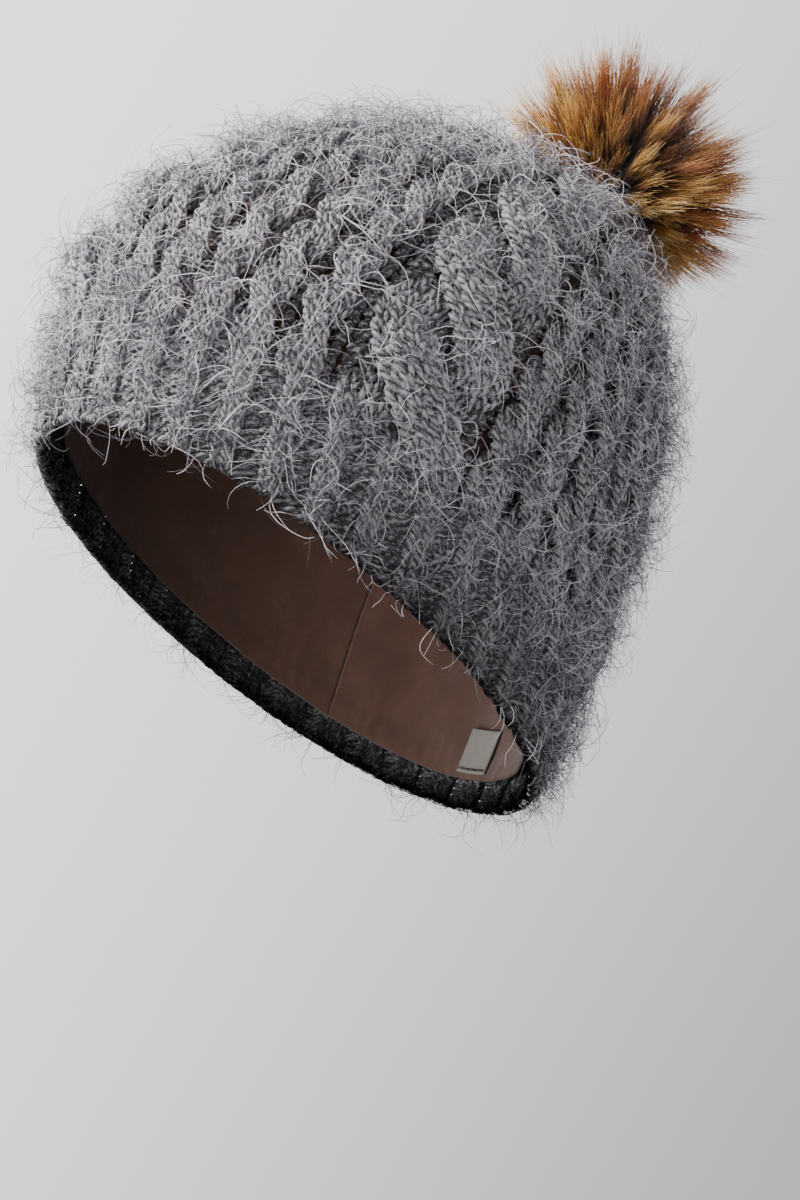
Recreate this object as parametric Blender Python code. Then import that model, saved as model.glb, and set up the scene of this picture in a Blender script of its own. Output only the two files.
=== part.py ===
"""Pom pom beanie: a cable-knit hat with a ribbed brim, a sewn lining and a snap-on fake-fur pom.

Frame: metres, +Z up through the crown, -Y towards the forehead, +X towards the wearer's left.
The brim's edge lies in the plane Z = 0, and the origin is under the middle of the hat.
Driving dimensions are in millimetres.
"""
import math

import bmesh
import bpy
from mathutils import Vector

MM = 0.001
GAP = 0.3

# The hat's outer surface is lofted through tilting oval rings, from the brim up to the crown.
# Each ring: front point (y, z), back point (y, z) and half width along X.
RINGS = (
    (-96.0, 0.0, 118.0, 0.0, 84.0),
    (-110.0, 28.0, 112.5, 27.0, 87.5),
    (-118.0, 58.0, 105.5, 55.0, 89.0),
    (-112.0, 90.0, 98.0, 84.0, 86.0),
    (-93.0, 123.0, 90.0, 110.0, 78.0),
    (-66.0, 152.0, 80.5, 133.0, 65.0),
    (-32.0, 175.0, 66.0, 156.5, 44.0),
    (-1.5, 182.0, 42.5, 173.5, 20.0),
    (18.65, 181.5, 23.35, 180.5, 2.4),
)
CROWN_RING = len(RINGS) - 1
AROUND = 48
SIDE_STEP = 1e-3

# Stations along the loft, in ring numbers.
RIB_TOP = 1.395
BODY_BOTTOM = 1.405
PATCH_EDGE = 7.62
GATHER_AT = 7.40
LINING_HEM = 0.42
LINING_TOP = 7.90
HEM_THREAD_AT = 0.50
SEAM_BOTTOM = 0.62
SEAM_TOP = 7.00
LABEL_BOTTOM = 0.47
LABEL_TOP = 1.02

# Layers through the wall.
KNIT_THICK = 5.0
LINING_GAP = 2.4
LINING_THICK = 1.2
CROWN_DROP = 2.0
PATCH_THICK = 1.0
THREAD_RADIUS = 0.5
YARN_RADIUS = 0.8
LABEL_THICK = 0.8
LABEL_HALF_ANGLE = 6.0
GORE_GAP_ANGLE = 0.25

# The press stud and the pom sit on one axis, square to the crown and leaning back.
CROWN = (0.0, 21.0, 181.0)
AXIS_LEAN = 12.0
POM_PIVOT = 7.0
ROUND_STEPS = 20

CAP_RADIUS = 6.0
CAP_THICK = 1.4
CAP_TOP = -7.1
POST_RADIUS = 1.5
STUD_FLANGE_RADIUS = 5.5
STUD_FLANGE_THICK = 0.7
STUD_NECK_RADIUS = 2.6
STUD_HEAD_RADIUS = 2.9
STUD_TOP = 3.7
SOCKET_RADIUS = 6.0
SOCKET_BOTTOM = 1.4
SOCKET_TOP = 5.0
SOCKET_MOUTH_RADIUS = 3.3
SOCKET_GROOVE_RADIUS = 4.3
SPRING_RING_RADIUS = 3.6
SPRING_WIRE_RADIUS = 0.35
SPRING_AT = 2.4
BASE_DISC_RADIUS = 8.5
BASE_DISC_THICK = 1.0

BAG_CENTRE = 24.0
BAG_RADIUS = 14.0
BAG_THICK = 1.2
BAG_MOUTH_RADIUS = 7.5
STUFFING_RADIUS = 11.6
DRAW_THREAD_AT = 9.9
DRAW_THREAD_RING = 5.0
DRAW_THREAD_RADIUS = 0.7
# Outer outline of the pile in (radius, height), from the underside to the top.
PILE_OUTLINE = (
    (12.5, 9.0),
    (22.0, 6.2),
    (34.0, 6.8),
    (42.5, 15.0),
    (46.5, 26.0),
    (47.0, 37.0),
    (43.5, 49.0),
    (35.0, 59.0),
    (22.0, 65.0),
    (10.0, 67.0),
    (0.0, 67.5),
)


def clear_scene():
    for item in list(bpy.data.objects):
        bpy.data.objects.remove(item, do_unlink=True)


def make_material(name, colour, roughness, metallic=0.0):
    material = bpy.data.materials.new(name)
    material.use_nodes = True
    shader = material.node_tree.nodes["Principled BSDF"]
    shader.inputs["Base Color"].default_value = (*colour, 1.0)
    shader.inputs["Roughness"].default_value = roughness
    shader.inputs["Metallic"].default_value = metallic
    return material


def add_object(name, data, material, parent=None):
    item = bpy.data.objects.new(name, data)
    bpy.context.collection.objects.link(item)
    data.materials.append(material)
    item.parent = parent
    return item


def mesh_object(name, shape, material, parent=None):
    """Turn a closed bmesh into a smooth-shaded object with its faces pointing out."""
    bmesh.ops.recalc_face_normals(shape, faces=shape.faces)
    mesh = bpy.data.meshes.new(name)
    shape.to_mesh(mesh)
    shape.free()
    mesh.shade_smooth()
    mesh.set_sharp_from_angle(angle=math.radians(40.0))
    return add_object(name, mesh, material, parent)


# ---- the hat's lofted surface -------------------------------------------------------------

def ring_at(station):
    """Ring values at a station, on a Catmull-Rom curve through the rings.

    Past the crown the curve goes on through the last full ring turned over, which keeps it level.
    """
    index = min(int(station), CROWN_RING - 1)
    part = station - index
    before = RINGS[max(index - 1, 0)]
    start = RINGS[index]
    end = RINGS[index + 1]
    if index + 2 <= CROWN_RING:
        after = RINGS[index + 2]
    else:
        front_y, front_z, back_y, back_z, half_width = start
        after = (back_y, back_z, front_y, front_z, -half_width)
    return [
        0.5 * (2 * b + (c - a) * part + (2 * a - 5 * b + 4 * c - d) * part ** 2
               + (3 * b - a - 3 * c + d) * part ** 3)
        for a, b, c, d in zip(before, start, end, after)
    ]


def outer_point(station, angle):
    """A point on the hat's outer surface, in millimetres. Angle 0 is +X and 90 degrees is the back."""
    front_y, front_z, back_y, back_z, half_width = ring_at(station)
    along = (1.0 + math.sin(angle)) / 2.0
    return Vector((
        half_width * math.cos(angle),
        front_y + (back_y - front_y) * along,
        front_z + (back_z - front_z) * along,
    ))


def wall_point(station, angle, inset):
    """The outer surface's point moved inwards, square to the wall, or level at the brim's edge."""
    low = max(station - SIDE_STEP, 0.0)
    high = min(station + SIDE_STEP, CROWN_RING)
    upwards = outer_point(high, angle) - outer_point(low, angle)
    sideways = outer_point(station, angle + SIDE_STEP) - outer_point(station, angle - SIDE_STEP)
    outwards = sideways.cross(upwards)
    if station == 0.0:
        outwards.z = 0.0
    return outer_point(station, angle) - outwards.normalized() * inset


def lining_inset(station):
    """Depth of the lining's outer face: deeper at the crown, to clear the press stud's cap."""
    rise = min(max((station - 5.5) / 2.0, 0.0), 1.0)
    return KNIT_THICK + LINING_GAP + CROWN_DROP * rise * rise * (3.0 - 2.0 * rise)


def spread(start, end, steps):
    return [start + (end - start) * index / steps for index in range(steps + 1)]


def wall_piece(name, stations, angles, outer_inset, thickness, material, closed=True):
    """A layer of the wall as one closed body: a full sleeve, or a sector with its own side walls."""
    shape = bmesh.new()

    def layer(depth):
        return [
            [shape.verts.new(wall_point(s, a, outer_inset(s) + depth) * MM) for a in angles]
            for s in stations
        ]

    outside = layer(0.0)
    inside = layer(thickness)
    columns = len(angles)
    rows = len(stations)
    column_pairs = [(i, (i + 1) % columns) for i in range(columns if closed else columns - 1)]
    for sheet in (outside, inside):
        for row in range(rows - 1):
            for left, right in column_pairs:
                shape.faces.new((sheet[row][left], sheet[row][right],
                                 sheet[row + 1][right], sheet[row + 1][left]))
    for row in (0, rows - 1):
        for left, right in column_pairs:
            shape.faces.new((outside[row][left], inside[row][left],
                             inside[row][right], outside[row][right]))
    if not closed:
        for column in (0, columns - 1):
            for row in range(rows - 1):
                shape.faces.new((outside[row][column], outside[row + 1][column],
                                 inside[row + 1][column], inside[row][column]))
    return mesh_object(name, shape, material)


def full_circle():
    return spread(0.0, math.tau, AROUND)[:-1]


def round_cord(name, points, radius, material, cyclic, parent=None):
    """A round thread or yarn through points given in millimetres."""
    curve = bpy.data.curves.new(name, "CURVE")
    curve.dimensions = "3D"
    curve.bevel_depth = radius * MM
    curve.bevel_resolution = 1
    curve.use_fill_caps = True
    spline = curve.splines.new("POLY")
    spline.points.add(len(points) - 1)
    for target, point in zip(spline.points, points):
        target.co = (*(Vector(point) * MM), 1.0)
    spline.use_cyclic_u = cyclic
    return add_object(name, curve, material, parent)


# ---- turned pieces on the press stud's axis -----------------------------------------------

def turned(name, outline, material, parent, offset=0.0):
    """A closed outline of (radius, height) turned about the parent's Z axis."""
    shape = bmesh.new()
    corners = [shape.verts.new((r * MM, 0.0, (z - offset) * MM)) for r, z in outline]
    edges = [
        shape.edges.new(pair)
        for pair in zip(corners, corners[1:] + corners[:1])
        if max(pair[0].co.x, pair[1].co.x) > 0.0
    ]
    bmesh.ops.spin(shape, geom=corners + edges, cent=(0, 0, 0), axis=(0, 0, 1),
                   angle=math.tau, steps=ROUND_STEPS)
    bmesh.ops.remove_doubles(shape, verts=shape.verts, dist=1e-6)
    return mesh_object(name, shape, material, parent)


def circle_points(radius, height, steps=ROUND_STEPS):
    return [
        (radius * math.cos(angle), radius * math.sin(angle), height)
        for angle in spread(0.0, math.tau, steps)[:-1]
    ]


def arc_outline(radius, start_angle, end_angle, steps):
    """Points of an arc about the bag's centre; angles are measured down from the top."""
    return [
        (max(radius * math.sin(angle), 0.0), BAG_CENTRE + radius * math.cos(angle))
        for angle in spread(start_angle, end_angle, steps)
    ]


def axis_empty(name, location, lean, parent=None):
    empty = bpy.data.objects.new(name, None)
    bpy.context.collection.objects.link(empty)
    empty.parent = parent
    empty.location = Vector(location) * MM
    empty.rotation_euler = (-math.radians(lean), 0.0, 0.0)
    return empty


# ---- sub-assemblies -----------------------------------------------------------------------

def build_knit():
    yarn = make_material("grey_mohair_yarn", (0.17, 0.17, 0.19), 0.95)
    seam_yarn = make_material("seam_yarn", (0.13, 0.13, 0.15), 0.95)
    felt = make_material("dark_felt", (0.05, 0.05, 0.06), 1.0)
    wall_piece("rib_brim", spread(0.0, RIB_TOP, 3), full_circle(), lambda s: 0.0, KNIT_THICK, yarn)
    wall_piece("knit_body", spread(BODY_BOTTOM, CROWN_RING, 14), full_circle(),
               lambda s: 0.0, KNIT_THICK, yarn)
    wall_piece("crown_patch", spread(PATCH_EDGE, CROWN_RING, 2), full_circle()[::2],
               lambda s: KNIT_THICK + GAP, PATCH_THICK, felt)
    middle = KNIT_THICK + LINING_GAP / 2.0
    seam = [wall_point(s, math.pi / 2, middle) for s in spread(SEAM_BOTTOM, SEAM_TOP, 26)]
    round_cord("back_seam_yarn", seam, YARN_RADIUS, seam_yarn, cyclic=False)
    gather = [wall_point(GATHER_AT, a, middle) for a in full_circle()[::2]]
    round_cord("crown_gather_yarn", gather, YARN_RADIUS, seam_yarn, cyclic=True)


def build_lining():
    cloth = make_material("brown_lining", (0.13, 0.06, 0.035), 0.85)
    thread = make_material("hem_thread", (0.09, 0.05, 0.04), 0.8)
    tape = make_material("blank_label_tape", (0.72, 0.70, 0.66), 0.6)
    quarter = math.pi / 2
    gap = math.radians(GORE_GAP_ANGLE)
    for number, side in enumerate(("left", "back", "right", "front")):
        middle = number * quarter
        angles = spread(middle - quarter / 2 + gap, middle + quarter / 2 - gap, AROUND // 4)
        wall_piece("lining_" + side, spread(LINING_HEM, LINING_TOP, 12), angles,
                   lining_inset, LINING_THICK, cloth, closed=False)
    hem = [wall_point(HEM_THREAD_AT, a, KNIT_THICK + LINING_GAP / 2.0) for a in full_circle()]
    round_cord("lining_hem_thread", hem, THREAD_RADIUS, thread, cyclic=True)
    back = math.radians(90.0)
    half = math.radians(LABEL_HALF_ANGLE)
    wall_piece("care_label", spread(LABEL_BOTTOM, LABEL_TOP, 3), spread(back - half, back + half, 4),
               lambda s: lining_inset(s) + LINING_THICK + GAP, LABEL_THICK, tape, closed=False)


def build_snap(axis):
    nickel = make_material("nickel_plate", (0.62, 0.60, 0.57), 0.3, 1.0)
    spring_steel = make_material("spring_wire", (0.70, 0.70, 0.70), 0.25, 1.0)
    cap_bottom = CAP_TOP - CAP_THICK
    turned("snap_back_cap", (
        (0.0, cap_bottom), (CAP_RADIUS - 0.6, cap_bottom), (CAP_RADIUS, cap_bottom + 0.5),
        (CAP_RADIUS, CAP_TOP), (POST_RADIUS, CAP_TOP), (POST_RADIUS, STUD_TOP - 1.1),
        (0.0, STUD_TOP - 1.1),
    ), nickel, axis)
    flange_top = GAP + STUD_FLANGE_THICK
    turned("snap_stud", (
        (POST_RADIUS + GAP, GAP), (STUD_FLANGE_RADIUS, GAP), (STUD_FLANGE_RADIUS, flange_top),
        (STUD_NECK_RADIUS, flange_top), (STUD_NECK_RADIUS, 2.6), (STUD_HEAD_RADIUS, 2.9),
        (STUD_HEAD_RADIUS, 3.3), (STUD_HEAD_RADIUS - 0.5, STUD_TOP), (0.0, STUD_TOP),
        (0.0, STUD_TOP - 0.8), (POST_RADIUS + GAP, STUD_TOP - 0.8),
    ), nickel, axis)
    turned("snap_socket", (
        (SOCKET_MOUTH_RADIUS, SOCKET_BOTTOM), (SOCKET_RADIUS, SOCKET_BOTTOM),
        (SOCKET_RADIUS, SOCKET_TOP - 0.4), (SOCKET_RADIUS - 0.4, SOCKET_TOP),
        (POST_RADIUS, SOCKET_TOP), (POST_RADIUS, SOCKET_TOP - 0.8),
        (SOCKET_MOUTH_RADIUS, SOCKET_TOP - 0.8), (SOCKET_MOUTH_RADIUS, SPRING_AT + 0.7),
        (SOCKET_GROOVE_RADIUS, SPRING_AT + 0.7), (SOCKET_GROOVE_RADIUS, SPRING_AT - 0.6),
        (SOCKET_MOUTH_RADIUS, SPRING_AT - 0.6),
    ), nickel, axis)
    round_cord("snap_spring", circle_points(SPRING_RING_RADIUS, SPRING_AT), SPRING_WIRE_RADIUS,
               spring_steel, cyclic=True, parent=axis)
    disc_bottom = SOCKET_TOP + GAP
    cap_at = disc_bottom + BASE_DISC_THICK + GAP
    turned("socket_cap", (
        (0.0, SOCKET_TOP - 0.6), (POST_RADIUS - GAP, SOCKET_TOP - 0.6), (POST_RADIUS - GAP, cap_at),
        (CAP_RADIUS, cap_at), (CAP_RADIUS, cap_at + 0.5), (CAP_RADIUS - 0.6, cap_at + 1.0),
        (0.0, cap_at + 1.0),
    ), nickel, axis)
    return disc_bottom


def build_pom(axis, disc_bottom):
    felt = make_material("base_felt", (0.06, 0.045, 0.035), 1.0)
    backing = make_material("fur_backing", (0.20, 0.11, 0.06), 0.9)
    wadding = make_material("white_wadding", (0.80, 0.79, 0.76), 1.0)
    thread = make_material("draw_thread", (0.10, 0.06, 0.04), 0.8)
    pile = make_material("two_tone_pile", (0.36, 0.20, 0.09), 0.9)
    turned("pom_base_disc", (
        (POST_RADIUS, disc_bottom), (BASE_DISC_RADIUS, disc_bottom),
        (BASE_DISC_RADIUS, disc_bottom + BASE_DISC_THICK), (POST_RADIUS, disc_bottom + BASE_DISC_THICK),
    ), felt, axis)

    pivot = axis_empty("pom_pivot", (0.0, 0.0, POM_PIVOT), 0.0, axis)
    draw_points = circle_points(DRAW_THREAD_RING, DRAW_THREAD_AT - POM_PIVOT)
    round_cord("pom_draw_thread", draw_points, DRAW_THREAD_RADIUS, thread, cyclic=True, parent=pivot)
    mouth = math.pi - math.asin(BAG_MOUTH_RADIUS / BAG_RADIUS)
    bag = arc_outline(BAG_RADIUS, 0.0, mouth, 9) + arc_outline(BAG_RADIUS - BAG_THICK, mouth, 0.0, 9)
    turned("pom_fur_backing", bag, backing, pivot, POM_PIVOT)
    turned("pom_stuffing", arc_outline(STUFFING_RADIUS, 0.0, math.pi, 8), wadding, pivot, POM_PIVOT)
    hollow = arc_outline(BAG_RADIUS + GAP, 0.0, mouth - math.radians(8.0), 9)
    turned("pom_fur_pile", list(PILE_OUTLINE) + hollow, pile, pivot, POM_PIVOT)


def main():
    clear_scene()
    build_knit()
    build_lining()
    axis = axis_empty("snap_axis", CROWN, AXIS_LEAN)
    disc_bottom = build_snap(axis)
    build_pom(axis, disc_bottom)


main()
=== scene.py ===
import math
from dataclasses import dataclass

import bpy
import numpy as np
from mathutils import Matrix, Vector


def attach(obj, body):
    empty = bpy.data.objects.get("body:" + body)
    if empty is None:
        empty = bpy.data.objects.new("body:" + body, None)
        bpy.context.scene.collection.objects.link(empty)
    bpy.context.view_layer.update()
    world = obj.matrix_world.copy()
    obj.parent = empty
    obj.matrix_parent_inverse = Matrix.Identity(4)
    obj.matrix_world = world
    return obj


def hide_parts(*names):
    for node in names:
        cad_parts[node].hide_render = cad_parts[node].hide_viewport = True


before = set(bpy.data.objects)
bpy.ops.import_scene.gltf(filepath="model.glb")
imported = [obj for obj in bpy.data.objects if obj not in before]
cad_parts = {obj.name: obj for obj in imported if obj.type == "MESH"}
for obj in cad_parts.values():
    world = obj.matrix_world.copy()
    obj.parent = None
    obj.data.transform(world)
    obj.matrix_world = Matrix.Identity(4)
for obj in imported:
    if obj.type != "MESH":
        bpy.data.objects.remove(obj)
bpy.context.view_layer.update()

MM = 0.001
SEED = 27

# ---- the hat's outer surface ----
# The same oval rings as the CAD loft, in millimetres:
# front point (y, z), back point (y, z) and half width along X.
RINGS = np.array([
    (-96.0, 0.0, 118.0, 0.0, 84.0),
    (-110.0, 28.0, 112.5, 27.0, 87.5),
    (-118.0, 58.0, 105.5, 55.0, 89.0),
    (-112.0, 90.0, 98.0, 84.0, 86.0),
    (-93.0, 123.0, 90.0, 110.0, 78.0),
    (-66.0, 152.0, 80.5, 133.0, 65.0),
    (-32.0, 175.0, 66.0, 156.5, 44.0),
    (-1.5, 182.0, 42.5, 173.5, 20.0),
    (18.65, 181.5, 23.35, 180.5, 2.4),
])
# Past the crown the surface goes on down the other side, as the last ring but one turned over.
TURNED_OVER = RINGS[-2, [2, 3, 0, 1, 4]] * (1, 1, 1, 1, -1)
KNOTS = np.vstack([RINGS[:1], RINGS, TURNED_OVER])
CROWN_RING = len(RINGS) - 1
KNIT_THICK = 5.0
LINING_DEPTH = 7.4
LINING_DROP = 2.0
BACK = math.pi / 2

# The press stud and the pom share one axis, which leans back.
CROWN = np.array([0.0, 21.0, 181.0])
AXIS_LEAN = math.radians(12.0)
AXIS_UP = np.array([0.0, math.sin(AXIS_LEAN), math.cos(AXIS_LEAN)])
AXIS_SIDE = np.array([1.0, 0.0, 0.0])
AXIS_BACK = np.array([0.0, math.cos(AXIS_LEAN), -math.sin(AXIS_LEAN)])
BAG_CENTRE = 24.0
BAG_RADIUS = 14.0
BAG_MOUTH_RADIUS = 7.5


def spans(points, axis):
    """Distances between neighbouring points along one axis of an array of points."""
    return np.linalg.norm(np.diff(points, axis=axis), axis=-1)


def running_total(steps):
    return np.concatenate([[0.0], np.cumsum(steps)])


def ring_at(station):
    index = np.clip(station.astype(int), 0, CROWN_RING - 1)
    part = (station - index)[..., None]
    before, start, end, after = (KNOTS[index + step] for step in range(4))
    return 0.5 * (2 * start + (end - before) * part
                  + (2 * before - 5 * start + 4 * end - after) * part ** 2
                  + (3 * start - before - 3 * end + after) * part ** 3)


def outer_point(station, angle):
    """Angle 0 is +X, 90 degrees is the back and -90 degrees is the forehead."""
    front_y, front_z, back_y, back_z, half_width = np.moveaxis(ring_at(station), -1, 0)
    along = (1.0 + np.sin(angle)) / 2.0
    return np.stack([
        half_width * np.cos(angle),
        front_y + (back_y - front_y) * along,
        front_z + (back_z - front_z) * along,
    ], -1)


def meridian_table():
    """Mean distance up the wall from the brim, in millimetres, for a fine row of stations."""
    stations = np.linspace(0.0, CROWN_RING, 801)
    angles = np.linspace(0.0, math.tau, 181)
    points = outer_point(*np.broadcast_arrays(stations[:, None], angles))
    return stations, running_total(spans(points, 0).mean(1))


STATIONS, CLIMB = meridian_table()


def wall(angle, up, depth=0.0):
    """Point and outward normal of the wall, up millimetres above the brim and depth outwards."""
    angle, up, depth = np.broadcast_arrays(*(np.asarray(a, float) for a in (angle, up, depth)))
    station = np.interp(up, CLIMB, STATIONS)
    nudge = 2e-3
    low = np.maximum(station - nudge, 0.0)
    high = np.minimum(station + nudge, CROWN_RING)
    upwards = outer_point(high, angle) - outer_point(low, angle)
    sideways = outer_point(station, angle + nudge) - outer_point(station, angle - nudge)
    normal = unit(np.cross(sideways, upwards))
    return outer_point(station, angle) + normal * depth[..., None], normal


def unit(vectors):
    return vectors / np.maximum(np.linalg.norm(vectors, axis=-1, keepdims=True), 1e-9)


def smooth_step(low, high, value):
    part = np.clip((value - low) / (high - low), 0.0, 1.0)
    return part * part * (3.0 - 2.0 * part)


def circle(steps):
    """The angles of equal steps round a full turn."""
    return np.arange(steps) / steps * math.tau


def new_object(name, data):
    item = bpy.data.objects.new(name, data)
    bpy.context.scene.collection.objects.link(item)
    return item


class Wobble:
    """Smooth random unevenness over the wall, by interpolating a grid of random numbers."""

    def __init__(self, seed, across, upwards):
        random = np.random.default_rng(seed)
        self.grid = random.uniform(-1.0, 1.0, (upwards + 2, across))
        self.across = across
        self.upwards = upwards

    def __call__(self, angle, up):
        x = (angle / math.tau % 1.0) * self.across
        y = np.clip(up / CLIMB[-1], 0.0, 1.0) * self.upwards
        column, row = x.astype(int), y.astype(int)
        fx, fy = smooth_step(0.0, 1.0, x - column), smooth_step(0.0, 1.0, y - row)
        left, right = column % self.across, (column + 1) % self.across
        low = self.grid[row, left] * (1 - fx) + self.grid[row, right] * fx
        high = self.grid[row + 1, left] * (1 - fx) + self.grid[row + 1, right] * fx
        return low * (1 - fy) + high * fy


# ---- camera ----

def place_camera():
    azimuth, elevation, roll = math.radians(56.5), math.radians(-20.0), math.radians(32.6)
    aim = Vector((0.0259, 0.0258, 0.0246))
    distance = 1.3
    away = Vector((math.sin(azimuth) * math.cos(elevation),
                   -math.cos(azimuth) * math.cos(elevation), math.sin(elevation)))
    level = Vector((math.cos(azimuth), math.sin(azimuth), 0.0))
    upright = away.cross(level)
    right = level * math.cos(roll) + upright * math.sin(roll)
    top = upright * math.cos(roll) - level * math.sin(roll)
    data = bpy.data.cameras.new("camera")
    data.lens = 119.0
    data.sensor_width = 36.0
    data.clip_start = 0.05
    camera = new_object("camera", data)
    turn = Matrix((right, top, away)).transposed().to_4x4()
    camera.matrix_world = Matrix.Translation(aim + away * distance) @ turn
    bpy.context.scene.camera = camera
    return right, top, away


# ---- materials ----

class Tree:
    """Short calls for building the node tree of a material or the world."""

    def __init__(self, owner):
        owner.use_nodes = True
        self.graph = owner.node_tree

    def existing(self, name):
        return self.graph.nodes[name]

    def add(self, kind, inputs=None, **settings):
        node = self.graph.nodes.new("ShaderNode" + kind)
        for key, value in settings.items():
            setattr(node, key, value)
        for key, value in (inputs or {}).items():
            self.feed(node.inputs[key], value)
        return node

    def feed(self, socket, value):
        if isinstance(value, bpy.types.NodeSocket):
            self.graph.links.new(value, socket)
        else:
            socket.default_value = value

    def ramp(self, factor, stops):
        node = self.add("ValToRGB", {"Fac": factor})
        elements = node.color_ramp.elements
        while len(elements) < len(stops):
            elements.new(0.5)
        for element, (position, colour) in zip(elements, stops):
            element.position = position
            element.color = (*colour, 1.0)
        return node.outputs["Color"]

    def mix(self, factor, first, second, blend="MIX"):
        inputs = {0: factor, 6: first, 7: second}
        return self.add("Mix", inputs, data_type="RGBA", blend_type=blend).outputs[2]


class Nodes(Tree):
    """A material's node tree, with the settings of its Principled BSDF."""

    def __init__(self, name, **settings):
        self.material = bpy.data.materials.new(name)
        super().__init__(self.material)
        self.shader = self.existing("Principled BSDF")
        for socket, value in settings.items():
            self.shader.inputs[socket.replace("_", " ")].default_value = value

    def math(self, operation, first, second=0.0):
        return self.add("Math", {0: first, 1: second}, operation=operation).outputs[0]

    def weighed(self, total, *terms):
        """The total plus the terms, each a value that counts about its middle, by its weight."""
        for value, middle, weight in terms:
            centred = self.math("SUBTRACT", value, middle)
            total = self.math("ADD", self.math("MULTIPLY", centred, weight), total)
        return total

    def attribute(self, name):
        return self.add("Attribute", attribute_name=name).outputs["Fac"]

    def noise(self, vector, scale, detail=4.0, roughness=0.6):
        inputs = {"Vector": vector, "Scale": scale, "Detail": detail, "Roughness": roughness}
        return self.add("TexNoise", inputs).outputs["Fac"]

    def scaled(self, vector, x, y, z):
        inputs = {"Vector": vector, "Scale": (x, y, z)}
        return self.add("Mapping", inputs).outputs["Vector"]

    def place(self):
        return self.add("TexCoord").outputs["Object"]

    def strand_uv(self):
        """Distance along the strand in millimetres (x) and turns around it (y)."""
        return self.add("UVMap", uv_map="strand").outputs["UV"]

    def bump(self, height, distance, strength=1.0):
        inputs = {"Height": height, "Distance": distance, "Strength": strength}
        self.feed(self.shader.inputs["Normal"], self.add("Bump", inputs).outputs["Normal"])

    def finish(self, colour, roughness=None):
        self.feed(self.shader.inputs["Base Color"], colour)
        if roughness is not None:
            self.feed(self.shader.inputs["Roughness"], roughness)
        return self.material


def grey(value):
    return (value, value, value)


def plied(nodes, plies, pitch):
    """Height of a plied strand: as many ridges as plies, winding once in each pitch."""
    split = nodes.add("SeparateXYZ", {0: nodes.strand_uv()})
    turns = nodes.math("ADD", nodes.math("MULTIPLY", split.outputs[0], 1.0 / pitch), split.outputs[1])
    return nodes.math("ABSOLUTE", nodes.math("SINE", nodes.math("MULTIPLY", turns, math.pi * plies)))


def yarn_material(name, dark, middle, light, fleck):
    """Heathered fuzzy yarn: plies, streaks of single fibres and flecks of dyed fibre, with painted
    shade in the ply grooves and, through the tone, on sunken stitches.
    """
    nodes = Nodes(name, Roughness=0.95, Sheen_Weight=0.28, Sheen_Roughness=0.55)
    uv = nodes.strand_uv()
    plies = plied(nodes, 2, 6.5)
    fibres = nodes.noise(nodes.scaled(uv, 0.45, 6.0, 1.0), 1.7, 4.0, 0.7)
    heather = nodes.noise(nodes.place(), 420.0, 5.0, 0.75)
    patches = nodes.noise(nodes.place(), 60.0, 2.0, 0.5)
    tone = nodes.attribute("tone")
    # The colour level holds painted shade: darker in the ply grooves, and darker on sunken stitches
    # through the tone. Fibres, heather and the rest of the tone are random tone.
    level = nodes.weighed(-0.40, (fibres, 0.0, 1.15), (heather, 0.0, 0.65),
                          (tone, 0.62, 0.50), (plies, 0.6, 0.36))
    colour = nodes.ramp(level, [(0.36, dark), (0.49, middle), (0.64, light)])
    specks = nodes.noise(nodes.place(), 900.0, 2.0, 0.6)
    flecks = nodes.ramp(specks, [(0.60, grey(0.0)), (0.70, grey(1.0))])
    colour = nodes.mix(flecks, colour, (*fleck, 1.0))
    colour = nodes.mix(nodes.math("MULTIPLY", patches, 0.20), colour, (*middle, 1.0))
    nodes.bump(nodes.weighed(plies, (fibres, 0.0, 0.7)), 0.0012)
    return nodes.finish(colour)


def fibre_material(name, stops):
    """Loose fibres: one tone for each, with painted shade darkening each fibre near its root."""
    nodes = Nodes(name, Roughness=0.5, Sheen_Weight=0.15)
    along = nodes.attribute("along")
    tone = nodes.attribute("tone")
    colour = nodes.ramp(tone, stops)
    # Painted shade: the first part of each fibre, near its root among the yarn, is darkened.
    shade = nodes.ramp(along, [(0.0, grey(0.65)), (0.35, grey(1.0))])
    speckle = nodes.noise(nodes.place(), 700.0, 2.0, 0.5)
    shade = nodes.mix(nodes.math("MULTIPLY", speckle, 0.25), shade, (0.8, 0.8, 0.8, 1.0))
    return nodes.finish(nodes.mix(1.0, colour, shade, "MULTIPLY"))


def fur_material():
    """Two-tone pile: near black at the root, rust or gold along its length, and paler at the tip."""
    nodes = Nodes("fur_pile", Roughness=0.42, Sheen_Weight=0.25, Specular_IOR_Level=0.6)
    along = nodes.attribute("along")
    tone = nodes.attribute("tone")
    streak = nodes.noise(nodes.scaled(nodes.strand_uv(), 0.08, 3.0, 1.0), 3.0, 3.0, 0.6)
    reach = nodes.weighed(along, (streak, 0.5, 0.22))
    rust = nodes.ramp(reach, [(0.34, (0.008, 0.005, 0.003)), (0.58, (0.10, 0.020, 0.003)),
                              (0.82, (0.33, 0.078, 0.005)), (1.00, (0.56, 0.23, 0.035))])
    gold = nodes.ramp(reach, [(0.32, (0.010, 0.006, 0.003)), (0.54, (0.16, 0.052, 0.004)),
                              (0.78, (0.50, 0.215, 0.017)), (1.00, (0.84, 0.55, 0.17))])
    cream = nodes.ramp(reach, [(0.28, (0.018, 0.010, 0.005)), (0.54, (0.34, 0.14, 0.020)),
                               (0.80, (0.80, 0.53, 0.16)), (1.00, (0.97, 0.84, 0.54))])
    warm = nodes.ramp(tone, [(0.36, grey(0.0)), (0.52, grey(1.0))])
    pale = nodes.ramp(tone, [(0.76, grey(0.0)), (0.92, grey(1.0))])
    colour = nodes.mix(pale, nodes.mix(warm, rust, gold), cream)
    return nodes.finish(colour)


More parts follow.
